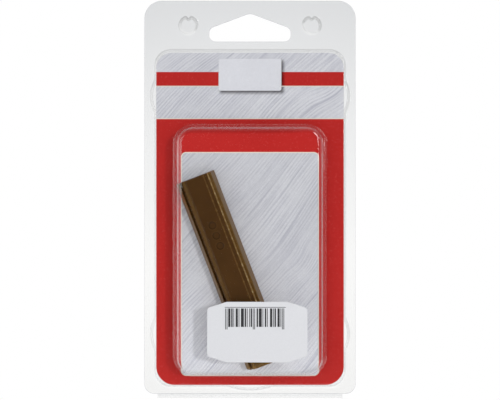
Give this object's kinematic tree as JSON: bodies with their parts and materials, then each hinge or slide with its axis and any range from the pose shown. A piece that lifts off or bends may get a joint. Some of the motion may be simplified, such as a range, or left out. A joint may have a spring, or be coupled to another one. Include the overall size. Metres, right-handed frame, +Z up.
{
  "type": "furniture repair wax stick",
  "caption": "Bar of furniture repair wax, loose in the dome of a clear hinged clamshell pack with a printed card, press studs and a roof-shaped hanging hole.",
  "frame": {"origin": "top of the roof-shaped hanging hole, where a peg bears, on the plane where the two flanges meet", "axes": "+X across the pack to the viewer's right, +Z up the pack, and the pack's front with the dome faces -Y"},
  "size_m": [0.084, 0.016, 0.158],
  "materials": {
    "clear_film": "clear thermoformed polyester film, glossy",
    "printed_card": "red print with pale wood-grain panels, light gloss",
    "wax": "cast dark brown wax, soft sheen",
    "label_paper": "white paper with plain bars"
  },
  "bodies": {
    "back": {"back_shell": "clear_film", "living_hinge": "clear_film", "insert_card": "printed_card"},
    "cover": {"cover_blister": "clear_film", "price_label": "label_paper"},
    "stick": {"wax_stick": "wax"}
  },
  "joints": [
    {"name": "cover_hinge", "type": "hinge", "parent": "back", "child": "cover", "pos_m": [0, 0, -0.15201], "axis": [1, 0, 0], "range_deg": [0, 180]},
    {"name": "stick_slide", "type": "slide", "parent": "cover", "child": "stick", "axis": [0, 0, 1], "range_m": [-0.001, 0.017]}
  ]
}
